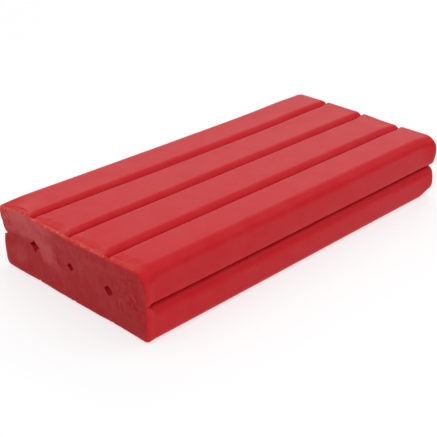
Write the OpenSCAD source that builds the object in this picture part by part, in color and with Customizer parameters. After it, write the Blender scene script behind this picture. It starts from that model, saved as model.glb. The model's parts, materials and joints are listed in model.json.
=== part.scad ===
// A block of oil-bound clay made of eight extruded strips, four side by side in two layers.
// The strips are pressed together, so they meet on flat faces. Where four rounded strip corners
// meet, a thin star-shaped channel is left, and where two meet in a face of the block, a groove.
// Origin: middle of the block's underside. X runs along the strips, Z is up, and strip 1 is at +Y.

/* [Block] */
// Length of the block along its strips (mm)
block_length = 161; // [60:1:240]
// Height of the lower layer, which is pressed a little flatter (mm)
lower_height = 13.25; // [11:0.25:20]
// Height of the upper layer (mm)
upper_height = 13.75; // [11:0.25:20]

/* [Strips] */
// Width of strip 1, at the +Y side (mm)
strip_1_width = 17.5; // [12:0.5:28]
// Width of strip 2 (mm)
strip_2_width = 19.5; // [12:0.5:28]
// Width of strip 3 (mm)
strip_3_width = 19.5; // [12:0.5:28]
// Width of strip 4, at the -Y side (mm)
strip_4_width = 17.5; // [12:0.5:28]
// Gap between strips that touch: the film of oil that lets them be peeled apart (mm)
film_gap = 0.04; // [0.02:0.01:0.1]

/* [Rounded corners] */
// Radius of the long edges of the top (mm)
top_edge_radius = 4; // [1:0.25:5]
// Radius of the corners beside a groove in the top (mm)
top_groove_radius = 3.5; // [1:0.25:5]
// Radius of the upper strip's corner in the groove along a side (mm)
side_upper_radius = 2.5; // [1:0.25:5]
// Radius of the lower strip's corner in the groove along a side (mm)
side_lower_radius = 4.5; // [1:0.25:5]
// Radius of the corners beside an inner channel (mm)
channel_radius = 2; // [1:0.25:5]
// Radius of every corner at the underside, which the block's weight has squared up (mm)
underside_radius = 2.5; // [1:0.25:5]
// Fineness of the arcs, in segments a turn
arc_segments = 64; // [24:8:128]

/* [Hidden] */
strip_widths = [strip_1_width, strip_2_width, strip_3_width, strip_4_width];
strip_count = len(strip_widths);
layers = ["lower", "upper"];
block_width = sum_to(strip_widths, strip_count);

// The sum of the first n values of a list.
function sum_to(values, n) = n <= 0 ? 0 : values[n - 1] + sum_to(values, n - 1);

// The Y of strip i's side that faces +Y, where i counts from 1.
function strip_side_y(i) = block_width / 2 - sum_to(strip_widths, i - 1);

// A rectangle with its own radius at each corner: a full disc in each corner, and the straight
// outline between the places where the discs end. Its lowest corner is at the origin, and the
// radii go round from there: low near, low far, top far, top near.
module rounded_rectangle(width, height, radii) {
    polygon([
        [radii[0], 0], [width - radii[1], 0],
        [width, radii[1]], [width, height - radii[2]],
        [width - radii[2], height], [radii[3], height],
        [0, height - radii[3]], [0, radii[0]]
    ]);
    centres = [
        [radii[0], radii[0]],
        [width - radii[1], radii[1]],
        [width - radii[2], height - radii[2]],
        [radii[3], height - radii[3]]
    ];
    for (corner = [0 : 3])
        translate(centres[corner]) circle(r = radii[corner], $fn = arc_segments);
}

// Turns an outline in X and Y into a bar along the block, with the outline's X along +Y and its
// Y along +Z.
module bar_along_block() {
    translate([-block_length / 2, 0, 0])
        rotate([90, 0, 90])
            linear_extrude(height = block_length)
                children();
}

// Strip i between two heights, with the radii of its corners from near_y to far_y.
module strip(i, low_z, high_z, radii) {
    far_y = strip_side_y(i) - (i == 1 ? 0 : film_gap / 2);
    near_y = strip_side_y(i + 1) + (i == strip_count ? 0 : film_gap / 2);
    bar_along_block()
        translate([near_y, low_z])
            rounded_rectangle(far_y - near_y, high_z - low_z, radii);
}

module lower_strip(i) {
    color("#B02E34")
        strip(i, 0, lower_height - film_gap / 2, [
            underside_radius,
            underside_radius,
            i == 1 ? side_lower_radius : channel_radius,
            i == strip_count ? side_lower_radius : channel_radius
        ]);
}

module upper_strip(i) {
    color("#CD4B4E")
        strip(i, lower_height + film_gap / 2, lower_height + upper_height, [
            i == strip_count ? side_upper_radius : channel_radius,
            i == 1 ? side_upper_radius : channel_radius,
            i == 1 ? top_edge_radius : top_groove_radius,
            i == strip_count ? top_edge_radius : top_groove_radius
        ]);
}

for (i = [1 : strip_count]) {
    lower_strip(i);
    upper_strip(i);
}
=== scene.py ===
"""A block of soft red modelling clay: eight extruded strips pressed together in two layers of four.

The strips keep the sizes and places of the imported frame. Each one is a rounded bar whose skin is
worked out here as one closed grid, with the marks that the wire left at the cut end.
"""

import json
import math

import bpy
import numpy as np
from bpy.props import FloatProperty, FloatVectorProperty, IntProperty, PointerProperty
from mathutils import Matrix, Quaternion, Vector


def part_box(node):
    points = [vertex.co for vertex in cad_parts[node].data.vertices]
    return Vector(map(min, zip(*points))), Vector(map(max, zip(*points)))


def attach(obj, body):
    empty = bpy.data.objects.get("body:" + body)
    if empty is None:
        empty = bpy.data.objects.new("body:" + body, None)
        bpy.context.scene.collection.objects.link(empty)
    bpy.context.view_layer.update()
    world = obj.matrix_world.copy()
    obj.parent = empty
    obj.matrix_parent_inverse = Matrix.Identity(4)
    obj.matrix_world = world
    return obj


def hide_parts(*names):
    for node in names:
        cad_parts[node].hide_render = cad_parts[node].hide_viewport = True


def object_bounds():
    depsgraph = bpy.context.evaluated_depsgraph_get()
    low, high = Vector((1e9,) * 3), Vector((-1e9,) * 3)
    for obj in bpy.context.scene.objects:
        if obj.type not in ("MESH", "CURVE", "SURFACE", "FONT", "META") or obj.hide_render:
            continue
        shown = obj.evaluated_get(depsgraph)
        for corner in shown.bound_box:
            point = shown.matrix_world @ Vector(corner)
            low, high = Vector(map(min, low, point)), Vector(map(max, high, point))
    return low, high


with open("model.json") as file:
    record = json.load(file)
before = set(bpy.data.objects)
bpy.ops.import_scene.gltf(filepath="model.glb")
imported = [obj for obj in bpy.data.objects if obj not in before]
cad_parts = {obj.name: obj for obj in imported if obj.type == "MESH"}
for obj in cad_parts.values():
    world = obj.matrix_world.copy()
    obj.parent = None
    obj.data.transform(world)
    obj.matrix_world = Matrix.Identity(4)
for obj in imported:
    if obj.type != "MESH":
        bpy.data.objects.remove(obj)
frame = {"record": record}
CAD_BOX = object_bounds()

bl_info = {
    "name": "Clay Block",
    "version": (1, 0, 0),
    "blender": (4, 5, 0),
    "location": "3D View > Sidebar > Clay",
    "description": "Builds a block of modelling clay from eight pressed strips, in a studio",
    "category": "Add Mesh",
}

MM = 0.001
STRIP_COUNT = 4
PAPER_GLOW = 0.62  # light from beneath the paper floor
FLOOR_HALF_SIDE = 3.0  # metres from the middle of the paper floor to its edge
FLOOR_DROP = 0.05  # mm from the block's underside down to the paper
HORIZON_GLOW, OVERHEAD_GLOW = 0.13, 1.10  # the white surround, level and straight up
SOFTBOXES = (  # name, place from the middle of the underside (m), width and height (m), watts
    ("back_softbox", (1.05, 0.98, 0.63), 1.35, 0.75, 5.4),
    ("right_softbox", (0.60, -0.40, 0.55), 0.5, 0.4, 0.8),
    ("left_softbox", (-0.85, 0.0, 0.55), 0.7, 0.5, 1.1),
    ("front_softbox", (-0.35, -0.50, 0.75), 0.7, 0.7, 1.9),
)
LATTICE = 64  # random numbers a side in soft_noise, after which it repeats
SHIFT = 200  # bumps by which patterns are moved along their lattice


# ---------------------------------------------------------------------------- small helpers


def linear(hex_colour):
    """Turns an sRGB hex colour such as #C81A24 into linear red, green and blue."""
    shares = [int(hex_colour[i : i + 2], 16) / 255 for i in (1, 3, 5)]
    return tuple(
        s / 12.92 if s <= 0.04045 else ((s + 0.055) / 1.055) ** 2.4 for s in shares
    )


def ease(share):
    """Smoothstep: 0 below 0, 1 above 1, and 3s^2 - 2s^3 between."""
    share = np.clip(share, 0, 1)
    return share * share * (3 - 2 * share)


def bell(distance, width):
    """A bell curve of height 1: e to the power of minus the square of distance over width."""
    return np.exp(-((distance / width) ** 2))


def soft_noise(seed, *scaled):
    """Smooth noise from -1 to 1 at points given as one array an axis, in bumps.

    Each lattice point holds a random number from the seed, and between lattice points the
    numbers are blended by smoothstep along each axis in turn.
    """
    lattice = np.random.default_rng(seed).uniform(-1, 1, (LATTICE,) * len(scaled))
    cells = [np.floor(a).astype(int) for a in scaled]
    shares = [ease(a - c) for a, c in zip(scaled, cells)]
    total = 0.0
    for corner in np.ndindex((2,) * len(scaled)):
        weight = 1.0
        for side, share in zip(corner, shares):
            weight = weight * (share if side else 1 - share)
        index = tuple((c + side) % LATTICE for side, c in zip(corner, cells))
        total = total + weight * lattice[index]
    return total


# ---------------------------------------------------------------------------- settings


class ClayStripSizes(bpy.types.PropertyGroup):
    """Sizes of the strips in millimetres: how round their corners are, and how fine the grid."""

    top_edge_radius: FloatProperty(
        name="Top edge radius", description="Rounding of the long edges of the top (mm)",
        default=4.0, min=1, max=5,
    )
    top_groove_radius: FloatProperty(
        name="Top groove radius", description="Rounding of the corners beside a top groove (mm)",
        default=3.5, min=1, max=5,
    )
    side_upper_radius: FloatProperty(
        name="Side groove, upper strip", default=2.5, min=1, max=5,
        description="Rounding of an upper strip's corner in the groove along a side (mm)",
    )
    side_lower_radius: FloatProperty(
        name="Side groove, lower strip", default=4.5, min=1, max=5,
        description="Rounding of a lower strip's corner in the groove along a side (mm)",
    )
    channel_radius: FloatProperty(
        name="Channel radius", description="Rounding of the corners beside an inner channel (mm)",
        default=2.0, min=1, max=5,
    )
    underside_radius: FloatProperty(
        name="Underside radius", description="Rounding of the corners at the underside (mm)",
        default=2.5, min=1, max=5,
    )
    arc_steps: IntProperty(
        name="Arc steps", description="Grid steps round one corner", default=15, min=4, max=40,
    )
    wide_steps: IntProperty(
        name="Wide steps", description="Grid steps across the flat of a strip", default=56,
        min=4, max=80,
    )
    tall_steps: IntProperty(
        name="Tall steps", description="Grid steps up the flat of a strip", default=26,
        min=4, max=80,
    )
    cap_rings: IntProperty(
        name="Cap rings", description="Grid rings on an end face", default=34, min=4, max=80,
    )
    coarsest_step: FloatProperty(
        name="Coarsest step", description="Longest grid step along a strip (mm)", default=0.9,
        min=0.3, max=5,
    )


class ClayCutMarks(bpy.types.PropertyGroup):
    """What the cutting wire did to the end of the block, in millimetres."""

    mouth_far: FloatVectorProperty(
        name="Channel mouths, +Y half", size=3, default=(3.7, 2.4, 2.3), min=0.5, max=4,
        description="Corner rounding at each channel's mouth, on the strip at its +Y side (mm)",
    )
    mouth_near: FloatVectorProperty(
        name="Channel mouths, -Y half", size=3, default=(3.0, 1.9, 2.4), min=0.5, max=4,
        description="Corner rounding at each channel's mouth, on the strip at its -Y side (mm)",
    )
    mouth_fullness: FloatVectorProperty(
        name="Mouth fullness", size=3, default=(0.2, 0.35, 0.85), min=0, max=1,
        description="Shape of each channel's mouth: 0 is a star, 0.5 a diamond and 1 a circle",
    )
    lip: FloatProperty(
        name="Lip", description="Thickness of the clay smeared across the end of a groove (mm)",
        default=0.12, min=0, max=3,
    )
    lip_run: FloatProperty(
        name="Lip run", description="Length over which a groove opens behind its lip (mm)",
        default=0.45, min=0.1, max=5,
    )
    groove_pinch: FloatVectorProperty(
        name="Groove pinch", size=3, default=(0.42, 0.40, 0.22), min=0, max=0.9,
        description="How much narrower each groove's +Y flank is towards the cut, as a share",
    )
    thin_drag: FloatProperty(
        name="Thin drag", description="Length of the dragged edge beside a groove (mm)",
        default=0.7, min=0.1, max=8,
    )
    wide_drag: FloatVectorProperty(
        name="Wide drag", size=4, default=(1.6, 3.4, 3.0, 4.0), min=0.1, max=8,
        description="Longest stretch of the dragged edge on each strip, from +Y to -Y (mm)",
    )
    edge_drop: FloatProperty(
        name="Edge drop", description="How far the wire pulled the top edge down (mm)",
        default=1.0, min=0, max=3,
    )


class ClayColours(bpy.types.PropertyGroup):
    """Colours of the clay, of the light and shade painted on it, and of the studio."""

    clay: FloatVectorProperty(
        name="Clay", description="Pigment of the clay", subtype="COLOR", size=3,
        default=linear("#C5151F"), min=0, max=1,
    )
    # painted highlight: this pale colour stands in for the light caught on the thin lips at the
    # cut's edges and the light shining through them
    lip_highlight: FloatVectorProperty(
        name="Smear", description="Thin smeared clay at the lips, which light shines through",
        subtype="COLOR", size=3, default=linear("#DC6A5E"), min=0, max=1,
    )
    # painted shade: this darker colour stands in for the shade on the cut end faces
    cut: FloatVectorProperty(
        name="Cut", description="Fresh clay on a face that the wire cut", subtype="COLOR",
        size=3, default=linear("#A3181C"), min=0, max=1,
    )
    # painted sheen: this pale colour stands in for the bright floor reflected in the cut faces
    film: FloatVectorProperty(
        name="Film", description="Pale oil and dust that the wire wiped over the cut",
        subtype="COLOR", size=3, default=linear("#B94146"), min=0, max=1,
    )
    bloom: FloatVectorProperty(
        name="Bloom", description="Pale wax that blooms on the skin", subtype="COLOR", size=3,
        default=linear("#C9484C"), min=0, max=1,
    )
    paper: FloatVectorProperty(
        name="Paper", description="Studio floor and background", subtype="COLOR", size=3,
        default=linear("#A8A8A8"), min=0, max=1,
    )


class ClayStudio(bpy.types.PropertyGroup):
    """Camera and light."""

    azimuth: FloatProperty(
        name="Azimuth", description="Direction of the camera, from straight along +Y",
        default=math.radians(-46.85), subtype="ANGLE", unit="ROTATION",
    )
    elevation: FloatProperty(
        name="Elevation", description="Height of the camera above the horizon",
        default=math.radians(26.31), subtype="ANGLE", unit="ROTATION",
    )
    roll: FloatProperty(
        name="Roll", description="Turn of the camera about its line of sight",
        default=math.radians(0.89), subtype="ANGLE", unit="ROTATION",
    )
    distance: FloatProperty(
        name="Distance", description="Camera to the point that it looks at",
        default=0.3789, min=0.1, unit="LENGTH",
    )
    aim: FloatVectorProperty(
        name="Aim", description="Point looked at, from the middle of the underside", size=3,
        default=(-0.0075, 0.0022, 0.0056), subtype="TRANSLATION", unit="LENGTH",
    )
    lens: FloatProperty(
        name="Lens", description="Focal length on a 36 mm sensor (mm)", default=80.73, min=10,
    )


class ClayBlockSettings(bpy.types.PropertyGroup):
    """Everything that a user would change."""

    sizes: PointerProperty(type=ClayStripSizes)
    marks: PointerProperty(type=ClayCutMarks)
    colours: PointerProperty(type=ClayColours)
    studio: PointerProperty(type=ClayStudio)


# ---------------------------------------------------------------------------- strip surface

FAR_RUN = 7.0  # mm over which a corner changes towards the far end
PINCH_RUN = 50.0  # mm over which a groove widens away from the cut
MOUTH_DEPTH = 2.5  # mm over which a channel's mouth turns back into a star
FINEST_STEP = 0.03  # mm between the first two rings at an end
STEP_GROWTH = 1.13  # each ring's step as a multiple of the step before it
MOST_STEPS = 400  # steps from an end to the middle of a strip, at the very most
CAP_CROWDING = 1.3  # power that crowds the rings of an end face towards its edge
TORN_START, TORN_RUN = 0.8, 2.5  # mm from an end where torn flats begin, and ease in
RIM = 0.35  # mm round an end face that takes the face's own marks
SKIN_DEPTH = 1.2  # mm behind an end face over which its relief dies away
LEAN_RUN = 6.0  # mm behind the cut over which its lean dies away
FAR_OFF = 9.0  # mm, well beyond the reach of a lip's marks
FOLD_PITCH = 1.6  # mm from fold to fold in the squashed corner


def along_strip(length, finest, coarsest, growth):
    """Distances from the cut end to the far end.

    The steps grow by a constant factor from the finest at each end to the coarsest, and half of
    the strip is mirrored to make the other half.
    """
    steps = np.minimum(finest * growth ** np.arange(MOST_STEPS), coarsest)
    half = np.cumsum(steps)
    half = np.concatenate([[0], half[half < length / 2]])
    half = half * (length / 2 / half[-1])
    return np.concatenate([half, length - half[-2::-1]])


def rounded_outlines(boxes, radii, fullness, sizes):
    """Rounded rectangles in Y and Z, one a station: stations by points by 2.

    A box is low Y, low Z, high Y, high Z. A corner is a quarter circle whose centre lies its
    radius in from both sides. Its mirror image in its own chord is a quarter circle round the
    box's corner, and a corner's fullness blends from the one to the other. The straight between
    two corners is cut into equal steps. The points go round from the low near corner: low near,
    low far, top far, top near.
    """
    low_y, low_z, high_y, high_z = (boxes[:, i : i + 1] for i in range(4))
    corners = ((low_y, low_z, 1, 1), (high_y, low_z, -1, 1),
               (high_y, high_z, -1, -1), (low_y, high_z, 1, -1))
    turn = np.linspace(0, math.pi / 2, sizes.arc_steps + 1)
    arcs = []
    for number, (y, z, in_y, in_z) in enumerate(corners):
        radius, full = (a[:, number : number + 1] for a in (radii, fullness))
        angle = math.pi + number * math.pi / 2 + turn
        cosine, sine, both = np.cos(angle), np.sin(angle), in_y * in_z
        arcs.append(np.stack([
            y + radius * ((1 - full) * (in_y + cosine) - full * both * sine),
            z + radius * ((1 - full) * (in_z + sine) - full * both * cosine)], axis=-1))
    parts = []
    for number, steps in enumerate((sizes.wide_steps, sizes.tall_steps) * 2):
        start, end = arcs[number][:, -1:], arcs[(number + 1) % 4][:, :1]
        share = (np.arange(1, steps) / steps)[None, :, None]
        parts += [arcs[number], start + (end - start) * share]
    return np.concatenate(parts, axis=1)


def end_inset(distance, rounding):
    """How far a side draws in at a distance from an end: a quarter circle of the rounding."""
    short = np.clip(rounding - distance, 0, rounding)
    return rounding - np.sqrt(np.maximum(rounding**2 - short**2, 0))


class Corner:
    """A strip's corner: its radius at the cut, along the strip and at the far end, in millimetres.

    From the cut, the radius keeps its first value for the length of a wall, and is then eased to
    the second over a run. The third is eased in over the last few millimetres. A pinch lessens
    the second by a share of it that dies away from the cut.
    """

    def __init__(self, cut, along, far=None, wall=0.0, run=5.0, fullness=0.0, pinch=0.0):
        self.cut, self.along, self.far = cut, along, along if far is None else far
        self.wall, self.run, self.fullness, self.pinch = wall, run, fullness, pinch

    def radius(self, reach, left):
        opened = ease((reach - self.wall) / self.run)
        ending = 1 - ease(left / FAR_RUN)
        along = self.along * (1 - self.pinch * np.exp(-reach / PINCH_RUN))
        return self.cut + (along - self.cut) * opened + (self.far - self.along) * ending

    def full(self, reach):
        return self.fullness * (1 - ease((reach - self.wall) / MOUTH_DEPTH))


class Strip:
    """One strip's place in the block and what its four corners are."""

    def __init__(self, layer, number):
        self.name = f"{layer}_strip_{number}"
        self.upper = layer == "upper"
        self.number = number
        self.far_side = number == 1
        self.near_side = number == STRIP_COUNT
        low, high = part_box(self.name)
        self.low, self.high = np.array(low) / MM, np.array(high) / MM
        self.body = next(b for b, nodes in frame["record"]["behaviour"]["bodies"].items()
                         if self.name in nodes)

    def corners(self, sizes, marks):
        """The low near, low far, top far and top near corners.

        A groove is closed at the cut by a thin wall of smeared clay, behind which its corners
        open over a short run.
        """
        near, far = self.number - 1, self.number - 2  # numbers of the channels beside the strip
        channel_near = self.near_side or Corner(
            marks.mouth_far[near], sizes.channel_radius, fullness=marks.mouth_fullness[near])
        channel_far = self.far_side or Corner(
            marks.mouth_near[far], sizes.channel_radius, fullness=marks.mouth_fullness[far])
        if not self.upper:
            return (
                Corner(1.9 if self.near_side else 1.2, sizes.underside_radius,
                       6.0 if self.near_side else None, run=3),
                Corner(2.6 if self.far_side else 1.2, sizes.underside_radius, run=3),
                Corner(0.8, sizes.side_lower_radius) if self.far_side else channel_far,
                Corner(0.4, sizes.side_lower_radius, 2.5, wall=0.3, run=3.5)
                if self.near_side else channel_near)
        return (
            Corner(0.4, sizes.side_upper_radius, 2.4, wall=0.3, run=2)
            if self.near_side else channel_near,
            Corner(3.6, sizes.side_upper_radius) if self.far_side else channel_far,
            Corner(1.6, sizes.top_edge_radius, 3.6, run=6) if self.far_side
            else Corner(0.3, sizes.top_groove_radius, 1.8, wall=marks.lip, run=marks.lip_run),
            Corner(6.2, sizes.top_edge_radius, 4.3, run=5) if self.near_side
            else Corner(0.3, sizes.top_groove_radius, 3.0, wall=marks.lip, run=marks.lip_run,
                        pinch=marks.groove_pinch[near]))

    def stations(self, sizes, marks):
        """X, box, corner radii and corner fullness of every ring: the cut face from its middle
        out, the body, and the far face from its edge in."""
        length = self.high[0] - self.low[0]
        reach = along_strip(length, FINEST_STEP, sizes.coarsest_step, STEP_GROWTH)
        left = length - reach
        meets = (0.0, 0.25)  # rounding where strips meet, at the cut and at the far end
        near_y = (1.5, 0.9) if self.near_side else meets
        far_y = (0.6, 2.6 if self.upper else 1.2) if self.far_side else meets
        low_z = meets if self.upper else (1.2, 0.9)
        high_z = (1.0 if self.near_side else 0.5, 0.7) if self.upper else meets
        insets = [end_inset(reach, cut) + end_inset(left, far)
                  for cut, far in (near_y, low_z, far_y, high_z)]
        boxes = np.stack([self.low[1] + insets[0], self.low[2] + insets[1],
                          self.high[1] - insets[2], self.high[2] - insets[3]], axis=-1)
        corners = self.corners(sizes, marks)
        radii = np.stack([c.radius(reach, left) for c in corners], axis=-1)
        radii = np.maximum(radii - np.maximum.reduce(insets)[:, None] * 0.5, 0.05)
        fullness = np.stack([c.full(reach) for c in corners], axis=-1)
        x = self.low[0] + reach
        # rings crowd towards the edge of an end face, so that the edge stays crisp
        shares = 1 - (1 - np.linspace(0, 1, sizes.cap_rings + 1)[1:-1]) ** CAP_CROWDING
        parts = []
        for end, order in ((0, 1), (-1, -1)):
            share = shares[::order, None]
            middle = (boxes[end, [0, 1, 0, 1]] + boxes[end, [2, 3, 2, 3]]) / 2
            parts.append((np.full(len(shares), x[end]), middle + (boxes[end] - middle) * share,
                          radii[end] * share, fullness[end] * np.ones_like(share)))
        rings = [np.concatenate([parts[0][k], body, parts[1][k]])
                 for k, body in enumerate((x, boxes, radii, fullness))]
        return rings, len(shares)


def face_masks(strip, sizes):
    """1 on the flats where the strip meets a neighbour, fading to 0 round its corners: a mask for
    each of the four sides, as points round the outline."""
    arc, wide, tall = sizes.arc_steps, sizes.wide_steps, sizes.tall_steps
    sides = []
    start = 0
    total = 4 * (arc + 1) + 2 * (wide - 1) + 2 * (tall - 1)
    touching = (strip.upper, not strip.far_side, not strip.upper, not strip.near_side)
    for number, steps in enumerate((wide, tall) * 2):
        mask = np.zeros(total)
        start += arc + 1
        share = np.arange(1, steps) / steps
        if touching[number]:
            mask[start : start + steps - 1] = ease(np.minimum(share, 1 - share) * 6)
        start += steps - 1
        sides.append(mask)
    return sides


def shape_strip(strip, sizes, marks):
    """The skin of a strip in millimetres, masks of the marks on it, and the size of its grid.

    The rounded bar is carried along X. Then the block's own shape is added as smooth functions
    of place that neighbours share, so that their edges still meet.
    """
    (ring_x, boxes, radii, fullness), caps = strip.stations(sizes, marks)
    outline = rounded_outlines(boxes, radii, fullness, sizes)
    rings, around = outline.shape[:2]
    x = np.repeat(ring_x[:, None], around, axis=1)
    y, z = outline[..., 0], outline[..., 1]

    edge = np.minimum(ring_x - strip.low[0], strip.high[0] - ring_x)[:, None]
    on_cap = np.zeros((rings, 1))
    on_cap[:caps] = 1
    on_cap[-caps:] = 1
    shift_y, shift_z, torn = torn_flats(strip, sizes, x, y, z, ease((edge - TORN_START) / TORN_RUN))
    middle = (strip.low + strip.high) / 2
    points = np.stack([x, y + shift_y, z + shift_z], axis=-1).reshape(-1, 3)
    poles = [[strip.low[0], middle[1], middle[2]], [strip.high[0], middle[1], middle[2]]]
    points = np.concatenate([points, poles])
    at_end = np.maximum(on_cap, 1 - ease(edge / RIM)) * np.ones((1, around))
    at_end = np.concatenate([at_end.ravel(), [1, 1]])
    torn = np.concatenate([torn.ravel(), [0, 0]])
    masks = {"torn": torn, **end_masks(strip, at_end, *points.T)}
    return shape_block(strip, marks, *points.T), masks, (rings, around)


def end_masks(strip, at_end, x, y, z):
    """Masks of the marks at the ends: the cut with its painted shade, the painted sheen on it, and
    the painted highlight on the smeared lip.

    The cut's colour is a painted shade on the end faces. It fades out towards the block's outer
    edges, which the wire rounded over, so that lighter rims of painted light are left there. The
    painted sheen is widest on the upper strip 1 and thins out from there, with a lighter patch in
    the middle of the lower strip 1. The painted highlight is a thin pale band that fades over the
    4 mm behind the cut's edge, with pale specks on a ragged lip along that edge, and a lighter
    patch on top of the squashed corner.
    """
    outer = (strip.high[2] - z if strip.upper else z - strip.low[2])
    aside = y - strip.low[1] if strip.near_side else strip.high[1] - y
    if strip.near_side or strip.far_side:
        outer = outer * aside / np.maximum(outer + aside, 0.01)
    # the cut's painted shade fades out at the outer edges, leaving lighter rims as painted light
    cut = at_end * ease((outer + 0.2) / 1.8)

    foot = 13.5 - 6 * ease((20 - y) / 5)
    # the painted sheen: over the upper strips, and a lighter patch in the middle of the lower strip
    # 1
    upper = (0.15 + 0.85 * ease((y - 4) / 10)) * ease((z - foot) / 4)
    lower = 0.4 * bell(y - 28, 5.5) * bell(z - 7.5, 4) + 0.15 * bell(y - 10, 7) * bell(z - 6, 4)
    mottle = 1 + 0.35 * soft_noise(21, (y + z) / 2.5 + SHIFT, (z - y) / 6 + SHIFT)
    # the painted sheen doesn't reach the bottom of a fold, which keeps the darker painted shade
    film = np.clip((upper + lower) * mottle - 1.2 * fold_ripples(y, z), 0, 1)
    # the far face has a quarter of it
    film = np.where(x > 0, 0.25 * film, film)

    above = strip.high[2] - z if strip.upper else np.full_like(z, FAR_OFF)
    beside = y - strip.low[1] if strip.near_side else np.full_like(z, FAR_OFF)
    reach = x - strip.low[0]
    ragged = 1 + 0.6 * soft_noise(23, y / 0.9 + SHIFT, z / 0.9 + SHIFT)
    # pale specks of painted highlight along the ragged lip
    highlight_flecks = np.clip(0.15 + 1.5 * soft_noise(24, y / 0.75 + SHIFT, z / 0.75 + SHIFT), 0, 1)
    lips = np.maximum(bell(above, 0.4), bell(beside, 0.4)) * (1 - ease(reach / (0.6 * ragged)))
    # a painted lighter band over the 4 mm behind the top edge, and a lighter patch on top of the
    # squashed corner
    dragged = np.maximum(0.24 * bell(above, 0.6), 0.08 * bell(beside, 0.4)) * (1 - ease(reach / 4))
    corner_patch = 0.25 * ease((y - 18) / 12) * ease((z - 21) / 3) * bell(reach, 7)
    # the smeared mask carries the painted highlight: the band, the patch and the lit lip with its
    # specks
    smeared = np.clip(np.maximum(dragged, corner_patch) + 0.85 * lips * highlight_flecks, 0, 1)
    return {"cut": cut, "film": film, "smeared": smeared}


def torn_flats(strip, sizes, x, y, z, away):
    """Pits in the flats that were pressed against a neighbour: how far each point moves in Y and
    Z, and how torn it is.

    A pit's depth is coarse noise times fine noise, and fades towards the strip's ends and
    corners. Points only move inwards, so strips never reach into each other.
    """
    shift_y, shift_z, torn = (np.zeros_like(y) for _ in range(3))
    for number, mask in enumerate(face_masks(strip, sizes)):
        if not mask.any():
            continue
        across = y if number in (0, 2) else z
        coarse = 0.5 + 0.5 * soft_noise(40 + number, x / 2.6 + SHIFT, across / 1.1 + SHIFT)
        fine = 0.6 + 0.4 * soft_noise(50 + number, x / 0.9 + SHIFT, across / 0.7 + SHIFT)
        depth = mask * away * (0.05 + 0.22 * coarse * fine)
        torn = np.maximum(torn, mask * away)
        if number in (1, 3):
            shift_y += depth * (-1 if number == 1 else 1)
        else:
            shift_z += depth * (1 if number == 0 else -1)
    return shift_y, shift_z, torn


def shape_block(strip, marks, x, y, z):
    """Adds the block's own shape to points of a strip: its dragged edge, its slack middle plane,
    its leaning cut, its flared ends, its squashed corner and the marks on its faces."""
    reach, left = x - strip.low[0], strip.high[0] - x
    along = 2 * x / (strip.high[0] - strip.low[0])
    half_y = CAD_BOX[1][1] / MM
    mid_z = frame_mid_z()
    low_z, high_z = (0, mid_z) if not strip.upper else (mid_z, CAD_BOX[1][2] / MM)
    height = np.clip((z - low_z) / (high_z - low_z), 0, 1)

    # the groove between strips 1 and 2 bows towards -Y at mid-length
    bow = -0.45 * (1 - along**2) * bell(y - 19.5, 9) if strip.upper else 0.0
    wave = 0.06 * soft_noise(5, x / 22 + SHIFT, z / 7 + SHIFT)
    hump = 4 * height * (1 - height)
    crown = 0.25 * hump * ease(np.minimum(reach, left) / 8)
    outer = np.zeros_like(y)
    bulge = 0.0
    if strip.far_side:
        outer = ease((y - strip.low[1]) / (half_y - strip.low[1]))
        flare = bell(reach, 5) * (1.7 * height**0.7 + 0.4 if strip.upper else 1.9 - 0.4 * height)
        bulge = crown + flare + 0.5 * bell(left, 5) * crown + wave
    if strip.near_side:
        outer = ease((strip.high[1] - y) / (strip.high[1] + half_y))
        ends = 0.35 * hump * bell(reach, 4) + (1.5 if strip.upper else 1.3) * hump * bell(left, 5)
        bulge = -(crown + ends + wave)
    new_y = y + bow * (1 - outer) + outer * bulge

    # the plane between the layers is read at the moved Y, so that both layers still meet on it
    lift = middle_lift(reach, new_y)
    if strip.upper:
        drop = top_drop(strip, marks, x, y, reach, left)
        new_z = z - height**1.2 * drop + (1 - height) * lift
        new_z += ease((height - 0.8) / 0.15) * lip_ridge(strip, y, reach)
    else:
        new_z = z + height * lift

    new_x = x + cut_relief(y, z, mid_z) * np.exp(-reach / SKIN_DEPTH)
    new_x = new_x + far_relief(y, z) * np.exp(-left / SKIN_DEPTH)
    new_x -= overhang(y, z) * np.exp(-reach / LEAN_RUN)
    if strip.upper and strip.far_side:
        corner = bell(reach, 4) * ease((y - 24) / 12) * ease((z - 15) / 9)
        new_z -= 2.5 * corner
        new_x -= corner * 0.3 - 0.9 * fold_ripples(y, z) * np.exp(-reach / SKIN_DEPTH)
    return np.stack([new_x, new_y, new_z], axis=-1)


def fold_ripples(y, z):
    """0 to 1 across the folds in the squashed corner: the squared crests of a slanting sine
    wave, near the block's side and top."""
    crests = np.clip(np.sin((y - 0.45 * z) * 2 * math.pi / FOLD_PITCH), 0, 1) ** 2
    return crests * ease((y - 31) / 2) * ease((z - 15) / 9)


def overhang(y, z):
    """How far the cut leans out over its foot: the wire left it 2.4 mm proud near the top, growing
    with height to the power 1.6, and less towards the block's two sides."""
    across = (0.35 + 0.65 * ease((32 - y) / 14)) * (1 - 0.5 * ease((-20 - y) / 17))
    return 2.4 * (np.clip(z, 0, None) / 26) ** 1.6 * across


def lip_ridge(strip, y, reach):
    """Height of the burr along the cut's top edge: a thin ragged ridge, and the crease where it
    is folded over, about a millimetre behind it."""
    row = np.full_like(y, strip.number * 2.3)
    ragged = 0.55 + 0.45 * soft_noise(25, y / 0.8 + SHIFT, row)
    crease_place = 1.0 + 0.35 * soft_noise(26, y / 4 + SHIFT, row)
    crease_depth = 0.28 * ease(0.5 + soft_noise(27, y / 3 + SHIFT, row))
    return 0.25 * ragged * bell(reach, 0.3) - crease_depth * bell(reach - crease_place, 0.28)


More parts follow.
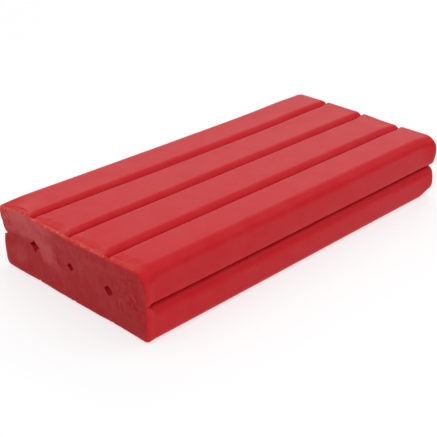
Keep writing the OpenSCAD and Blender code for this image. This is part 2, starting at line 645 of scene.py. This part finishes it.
def top_drop(strip, marks, x, y, reach, left):
    """How far the top lies below its plane: the edge that the wire pulled down at the cut, a
    slack corner at the far end, and a slight unevenness.

    The pulled edge is a slope whose depth is 1 less the share of its length, to the power 1.5.
    It is short beside a groove, and longest past the middle of the strip.
    """
    share = (y - strip.low[1]) / (strip.high[1] - strip.low[1])
    pulled = ease((1 - share) / 0.35)
    if not strip.near_side:
        pulled = pulled * ease((share + 0.08) / 0.45)
    ragged = 1 + 0.3 * soft_noise(11, y / 1.7 + SHIFT, np.full_like(y, strip.number * 3.7))
    longest = marks.wide_drag[strip.number - 1]
    length = marks.thin_drag + (longest - marks.thin_drag) * pulled * ragged
    depth = marks.edge_drop * (0.7 + 0.3 * pulled)
    drop = depth * np.clip(1 - reach / length, 0, 1) ** 1.5
    # a dip towards the cut, a slack far corner on the -Y side, and on the +Y side a sag at
    # mid-length and a rise near the far end
    drop += 0.2 * bell(reach, 9)
    drop += 0.75 * bell(left, 7) * ease((4 - y) / 20)
    drop += 0.25 * (1 - (2 * x / (strip.high[0] - strip.low[0])) ** 2) * ease((y + 5) / 20)
    drop -= 0.4 * bell(left - 14, 16) * ease((y - 8) / 12)
    return drop + 0.05 + 0.05 * soft_noise(3, x / 24 + SHIFT, y / 9 + SHIFT)


def middle_lift(reach, y):
    """How far the plane between the layers lies above its place: the wire pulled it up into a
    wave across the cut end."""
    wave = 0.6 + 0.75 * np.sin(y / 13) - 1.2 * ease((y - 29) / 8)
    return wave * np.exp(-reach / 10)


def cut_relief(y, z, mid_z):
    """How far each point of the cut face lies behind its plane: shallow waves, lines where the
    wire dragged, short tears and faint seams where strips meet."""
    bent = y + 1.5 * soft_noise(6, y / 9 + SHIFT, z / 6 + SHIFT)
    relief = 0.30 * soft_noise(7, (bent - 0.6 * z) / 9 + SHIFT, (z + 0.4 * bent) / 8 + SHIFT)
    relief += 0.12 * soft_noise(8, bent / 3.2 + SHIFT, z / 4.2 + SHIFT)
    relief += 0.035 * soft_noise(12, bent / 0.9 + SHIFT, z / 5 + SHIFT)
    tears = np.clip(soft_noise(13, bent / 0.8 + SHIFT, z / 2.4 + SHIFT) - 0.35, 0, 1)
    # tears in two places: near the block's -Y side, and round its middle
    relief += 1.2 * tears * np.maximum(bell(y + 28, 6) * bell(z - 14, 6),
                                       bell(y - 4, 5) * bell(z - mid_z, 3))
    # a dent along the plane between the layers, on the +Y side
    relief += 0.3 * bell(z - mid_z + 0.5, 1.4) * ease((y - 17) / 8)
    seam = bell(z - mid_z - 0.65 * np.sin(y / 13), 0.4)
    for plane in frame_planes_y():
        seam = np.maximum(seam, bell(y - plane, 0.4))
    patchy = ease(0.3 + soft_noise(9, y / 4 + SHIFT, z / 4 + SHIFT))
    return relief + 0.03 * seam * patchy


def far_relief(y, z):
    """How far each point of the far face lies beyond its plane: the same wire's shallower marks."""
    bent = y + 1.5 * soft_noise(16, y / 9 + SHIFT, z / 6 + SHIFT)
    relief = 0.22 * soft_noise(17, bent / 10 + SHIFT, z / 8 + SHIFT)
    return relief + 0.07 * soft_noise(18, bent / 2.5 + SHIFT, z / 5 + SHIFT) + 0.1 * ease(y / 10)


def frame_mid_z():
    """Height of the plane between the layers, in millimetres."""
    return (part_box("lower_strip_1")[1][2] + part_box("upper_strip_1")[0][2]) / 2 / MM


def frame_planes_y():
    """Y of each plane where two neighbouring strips of a layer meet, in millimetres."""
    return [
        (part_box(f"upper_strip_{i}")[0][1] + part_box(f"upper_strip_{i + 1}")[1][1]) / 2 / MM
        for i in range(1, STRIP_COUNT)
    ]


def skin_faces(rings, around):
    """Faces of the closed grid: four-sided between rings, and a fan from each pole to its ring."""
    grid = np.arange(rings * around).reshape(rings, around)
    onward = np.roll(grid, -1, axis=1)
    quads = np.stack([grid[:-1], onward[:-1], onward[1:], grid[1:]], axis=-1).reshape(-1, 4)
    near_pole, far_pole = rings * around, rings * around + 1
    near_fan = np.stack([np.full(around, near_pole), onward[0], grid[0]], axis=-1)
    far_fan = np.stack([np.full(around, far_pole), grid[-1], onward[-1]], axis=-1)
    return quads.tolist() + near_fan.tolist() + far_fan.tolist()


def make_piece(name, points, faces, masks):
    """A smooth-shaded mesh object from points in millimetres, with a float attribute a mask."""
    mesh = bpy.data.meshes.new(name)
    mesh.from_pydata((points * MM).tolist(), [], faces)
    mesh.polygons.foreach_set("use_smooth", np.ones(len(mesh.polygons), bool))
    for label, values in masks.items():
        layer = mesh.attributes.new(label, "FLOAT", "POINT")
        layer.data.foreach_set("value", values.astype(np.float32))
    mesh.update()
    mesh.validate()
    piece = bpy.data.objects.new(name, mesh)
    bpy.context.scene.collection.objects.link(piece)
    return piece


def build_strip(layer, number, settings):
    """Builds a strip's skin, and puts it in its CAD node's place."""
    strip = Strip(layer, number)
    points, masks, (rings, around) = shape_strip(strip, settings.sizes, settings.marks)
    piece = make_piece(f"{strip.name}_clay", points, skin_faces(rings, around), masks)
    piece.data.materials.append(clay_material(settings.colours))
    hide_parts(strip.name)
    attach(piece, strip.body)


# ---------------------------------------------------------------------------- materials


def add_node(tree, kind, inputs=None, **settings):
    """Adds a node, sets its properties, and fills or links its inputs by name or number."""
    node = tree.nodes.new(kind)
    for name, value in settings.items():
        setattr(node, name, value)
    for name, value in (inputs or {}).items():
        if isinstance(value, bpy.types.NodeSocket):
            tree.links.new(value, node.inputs[name])
        else:
            node.inputs[name].default_value = value
    return node


def clay_material(colours):
    """Oil-bound modelling clay, extruded and then cut with a wire.

    It is opaque and waxy: a saturated pigment under a thin oily sheen. The extruded skin is
    smooth with faint die lines along the strip, the cut is rougher with drag marks, and a flat
    that was peeled from its neighbour is rough. Light and shade are also painted into the colour:
    a darker painted shade on the cut, a painted sheen over parts of it, and a painted highlight
    along the lips.
    """
    name = "oil_bound_clay"
    if name in bpy.data.materials:
        return bpy.data.materials[name]
    material = bpy.data.materials.new(name)
    material.use_nodes = True
    tree = material.node_tree
    tree.nodes.clear()
    place = add_node(tree, "ShaderNodeTexCoord").outputs["Object"]
    # masks of the cut's painted shade, the painted sheen, the painted highlight on the smeared lips
    # and the torn flats
    cut, film, smeared, torn = (
        add_node(tree, "ShaderNodeAttribute", attribute_name=label).outputs["Fac"]
        for label in ("cut", "film", "smeared", "torn"))

    # uneven mixing of the pigment, over 9 mm
    mixing = add_node(tree, "ShaderNodeTexNoise",
                      {"Vector": place, "Scale": 1 / (9 * MM), "Detail": 5, "Roughness": 0.65})
    # die lines: 0.9 mm apart across the strip, drawn out 40 times along it
    lines_place = add_node(tree, "ShaderNodeMapping",
                           {"Vector": place, "Scale": (0.025, 1, 1)}).outputs["Vector"]
    lines = add_node(tree, "ShaderNodeTexNoise",
                     {"Vector": lines_place, "Scale": 1 / (0.9 * MM), "Detail": 3,
                      "Roughness": 0.6})
    # grain of the filler, 0.35 mm
    grain = add_node(tree, "ShaderNodeTexNoise",
                     {"Vector": place, "Scale": 1 / (0.35 * MM), "Detail": 3, "Roughness": 0.6})

    pigment = add_node(tree, "ShaderNodeMix", {
        0: add_node(tree, "ShaderNodeMapRange",
                    {"Value": mixing.outputs["Fac"], "From Min": 0.35, "From Max": 0.75,
                     "To Min": 0.0, "To Max": 0.20}).outputs["Result"],
        6: (*colours.clay, 1), 7: (*colours.bloom, 1)}, data_type="RGBA")
    # blotches in the painted sheen on the cut, 4 mm
    blotches = add_node(tree, "ShaderNodeTexNoise",
                        {"Vector": place, "Scale": 1 / (4 * MM), "Detail": 5, "Roughness": 0.65,
                         "Distortion": 0.6})
    blotched = add_node(tree, "ShaderNodeMapRange",
                        {"Value": blotches.outputs["Fac"], "From Min": 0.35, "From Max": 0.68,
                         "To Min": -0.28, "To Max": 0.18})
    filmed = add_node(tree, "ShaderNodeMath", {0: film, 1: blotched.outputs["Result"]},
                      operation="ADD", use_clamp=True)
    # the cut's colour: a painted shade, lightened by the painted sheen
    cut_shade_and_sheen = add_node(tree, "ShaderNodeMix", {0: filmed.outputs[0], 6: (*colours.cut, 1),
                                             7: (*colours.film, 1)}, data_type="RGBA")
    faces = add_node(tree, "ShaderNodeMix", {0: cut, 6: pigment.outputs[2], 7: cut_shade_and_sheen.outputs[2]},
                     data_type="RGBA")
    # the painted highlight of the lips over everything
    surface = add_node(tree, "ShaderNodeMix",
                       {0: smeared, 6: faces.outputs[2], 7: (*colours.lip_highlight, 1)},
                       data_type="RGBA")
    roughness = add_node(tree, "ShaderNodeMapRange",
                         {"Value": grain.outputs["Fac"], "To Min": 0.36, "To Max": 0.54})
    rough_cut = add_node(tree, "ShaderNodeMath",
                         {0: cut, 1: 0.12, 2: roughness.outputs["Result"]},
                         operation="MULTIPLY_ADD")
    rough_all = add_node(tree, "ShaderNodeMath", {0: torn, 1: 0.25, 2: rough_cut.outputs[0]},
                         operation="MULTIPLY_ADD", use_clamp=True)
    line_height = add_node(tree, "ShaderNodeBump",
                           {"Height": lines.outputs["Fac"], "Strength": 0.2,
                            "Distance": 0.05 * MM})
    grain_height = add_node(tree, "ShaderNodeBump",
                            {"Height": grain.outputs["Fac"], "Strength": 0.3,
                             "Distance": 0.04 * MM, "Normal": line_height.outputs["Normal"]})
    shader = add_node(tree, "ShaderNodeBsdfPrincipled", {
        "Base Color": surface.outputs[2], "Roughness": rough_all.outputs[0],
        "Normal": grain_height.outputs["Normal"], "IOR": 1.48, "Specular IOR Level": 0.13,
        "Subsurface Weight": 0.12, "Subsurface Radius": (1.0, 0.25, 0.15),
        "Subsurface Scale": 1.2 * MM})
    add_node(tree, "ShaderNodeOutputMaterial", {"Surface": shader.outputs["BSDF"]})
    return material


def paper_material(colours):
    """White translucent paper over a light table: matte, and it glows a little from beneath."""
    material = bpy.data.materials.new("backlit_paper")
    material.use_nodes = True
    tree = material.node_tree
    tree.nodes.clear()
    shader = add_node(tree, "ShaderNodeBsdfPrincipled", {
        "Base Color": (*colours.paper, 1), "Roughness": 1.0, "Specular IOR Level": 0.0,
        "Emission Color": (1, 1, 1, 1), "Emission Strength": PAPER_GLOW})
    add_node(tree, "ShaderNodeOutputMaterial", {"Surface": shader.outputs["BSDF"]})
    return material


# ---------------------------------------------------------------------------- studio


def add_softbox(name, place, aim, width, height, power):
    """A rectangular area light at a place, turned towards the aim."""
    light = bpy.data.lights.new(name, "AREA")
    light.shape = "RECTANGLE"
    light.size, light.size_y = width, height
    light.energy = power
    lamp = bpy.data.objects.new(name, light)
    lamp.location = place
    lamp.rotation_mode = "QUATERNION"
    lamp.rotation_quaternion = (Vector(aim) - Vector(place)).to_track_quat("-Z", "Y")
    bpy.context.scene.collection.objects.link(lamp)


def add_camera(studio, centre):
    """The camera looks at the aim from its azimuth and elevation, and is rolled about that line."""
    azimuth, elevation = studio.azimuth, studio.elevation
    back = Vector((math.sin(azimuth) * math.cos(elevation),
                   -math.cos(azimuth) * math.cos(elevation), math.sin(elevation)))
    data = bpy.data.cameras.new("camera")
    data.sensor_width = 36
    data.lens = studio.lens
    data.clip_start, data.clip_end = 0.01, 20
    camera = bpy.data.objects.new("camera", data)
    camera.location = centre + Vector(studio.aim) + back * studio.distance
    camera.rotation_mode = "QUATERNION"
    camera.rotation_quaternion = (-back).to_track_quat("-Z", "Y") @ Quaternion(
        (0, 0, 1), studio.roll)
    bpy.context.scene.collection.objects.link(camera)
    bpy.context.scene.camera = camera


def add_floor(colours, centre, half_side):
    """A flat square of background paper just under the block."""
    drop = FLOOR_DROP * MM
    corners = [(centre.x + half_side * i, centre.y + half_side * j, centre.z - drop)
               for i, j in ((-1, -1), (1, -1), (1, 1), (-1, 1))]
    mesh = bpy.data.meshes.new("paper_floor")
    mesh.from_pydata(corners, [], [(0, 1, 2, 3)])
    floor = bpy.data.objects.new("paper_floor", mesh)
    floor.data.materials.append(paper_material(colours))
    bpy.context.scene.collection.objects.link(floor)


def set_world(horizon, overhead):
    """A white surround that brightens overhead: its strength is the horizon's plus the overhead
    gain times the square of the height of the direction, from 0 level to 1 straight up."""
    world = bpy.data.worlds.new("studio_white")
    world.use_nodes = True
    tree = world.node_tree
    direction = add_node(tree, "ShaderNodeTexCoord").outputs["Generated"]
    height = add_node(tree, "ShaderNodeSeparateXYZ", {0: direction}).outputs["Z"]
    upward = add_node(tree, "ShaderNodeMath", {0: height, 1: 0.0}, operation="MAXIMUM")
    squared = add_node(tree, "ShaderNodeMath", {0: upward.outputs[0], 1: 2.0}, operation="POWER")
    strength = add_node(tree, "ShaderNodeMath",
                        {0: squared.outputs[0], 1: overhead, 2: horizon}, operation="MULTIPLY_ADD")
    background = tree.nodes["Background"]
    background.inputs["Color"].default_value = (1, 1, 1, 1)
    tree.links.new(strength.outputs[0], background.inputs["Strength"])
    bpy.context.scene.world = world


# ---------------------------------------------------------------------------- operators


class CLAY_OT_lower_strips(bpy.types.Operator):
    """Build the four strips of the lower layer"""

    bl_idname = "clay.lower_strips"
    bl_label = "Lower Strips"

    def execute(self, context):
        for number in range(1, STRIP_COUNT + 1):
            build_strip("lower", number, context.scene.clay_block)
        return {"FINISHED"}


class CLAY_OT_upper_strips(bpy.types.Operator):
    """Build the four strips of the upper layer"""

    bl_idname = "clay.upper_strips"
    bl_label = "Upper Strips"

    def execute(self, context):
        for number in range(1, STRIP_COUNT + 1):
            build_strip("upper", number, context.scene.clay_block)
        return {"FINISHED"}


class CLAY_OT_stage(bpy.types.Operator):
    """Set up the paper floor, the soft light and the camera"""

    bl_idname = "clay.stage"
    bl_label = "Studio"

    def execute(self, context):
        settings = context.scene.clay_block
        low, high = CAD_BOX
        centre = Vector(((low.x + high.x) / 2, (low.y + high.y) / 2, low.z))
        context.scene.view_settings.view_transform = "Standard"
        add_camera(settings.studio, centre)
        add_floor(settings.colours, centre, FLOOR_HALF_SIDE)
        set_world(HORIZON_GLOW, OVERHEAD_GLOW)
        for name, place, width, height, power in SOFTBOXES:
            add_softbox(name, centre + Vector(place), centre, width, height, power)
        return {"FINISHED"}


class CLAY_PT_block(bpy.types.Panel):
    """Lists the operators and settings of the clay block."""

    bl_idname = "CLAY_PT_block"
    bl_label = "Clay Block"
    bl_space_type = "VIEW_3D"
    bl_region_type = "UI"
    bl_category = "Clay"

    def draw(self, context):
        settings = context.scene.clay_block
        for operator in OPERATORS:
            self.layout.operator(operator.bl_idname)
        for group in (settings.sizes, settings.marks, settings.colours, settings.studio):
            box = self.layout.box()
            for name in group.bl_rna.properties.keys():
                if name not in ("rna_type", "name"):
                    box.prop(group, name)


GROUPS = (ClayStripSizes, ClayCutMarks, ClayColours, ClayStudio, ClayBlockSettings)
OPERATORS = (CLAY_OT_lower_strips, CLAY_OT_upper_strips, CLAY_OT_stage)


def register():
    for cls in (*GROUPS, *OPERATORS, CLAY_PT_block):
        bpy.utils.register_class(cls)
    bpy.types.Scene.clay_block = PointerProperty(type=ClayBlockSettings)


def unregister():
    del bpy.types.Scene.clay_block
    for cls in (CLAY_PT_block, *reversed(OPERATORS), *reversed(GROUPS)):
        bpy.utils.unregister_class(cls)


def main():
    """Registers the add-on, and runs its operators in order."""
    register()
    bpy.ops.clay.lower_strips()
    bpy.ops.clay.upper_strips()
    bpy.ops.clay.stage()


if __name__ == "__main__":
    main()
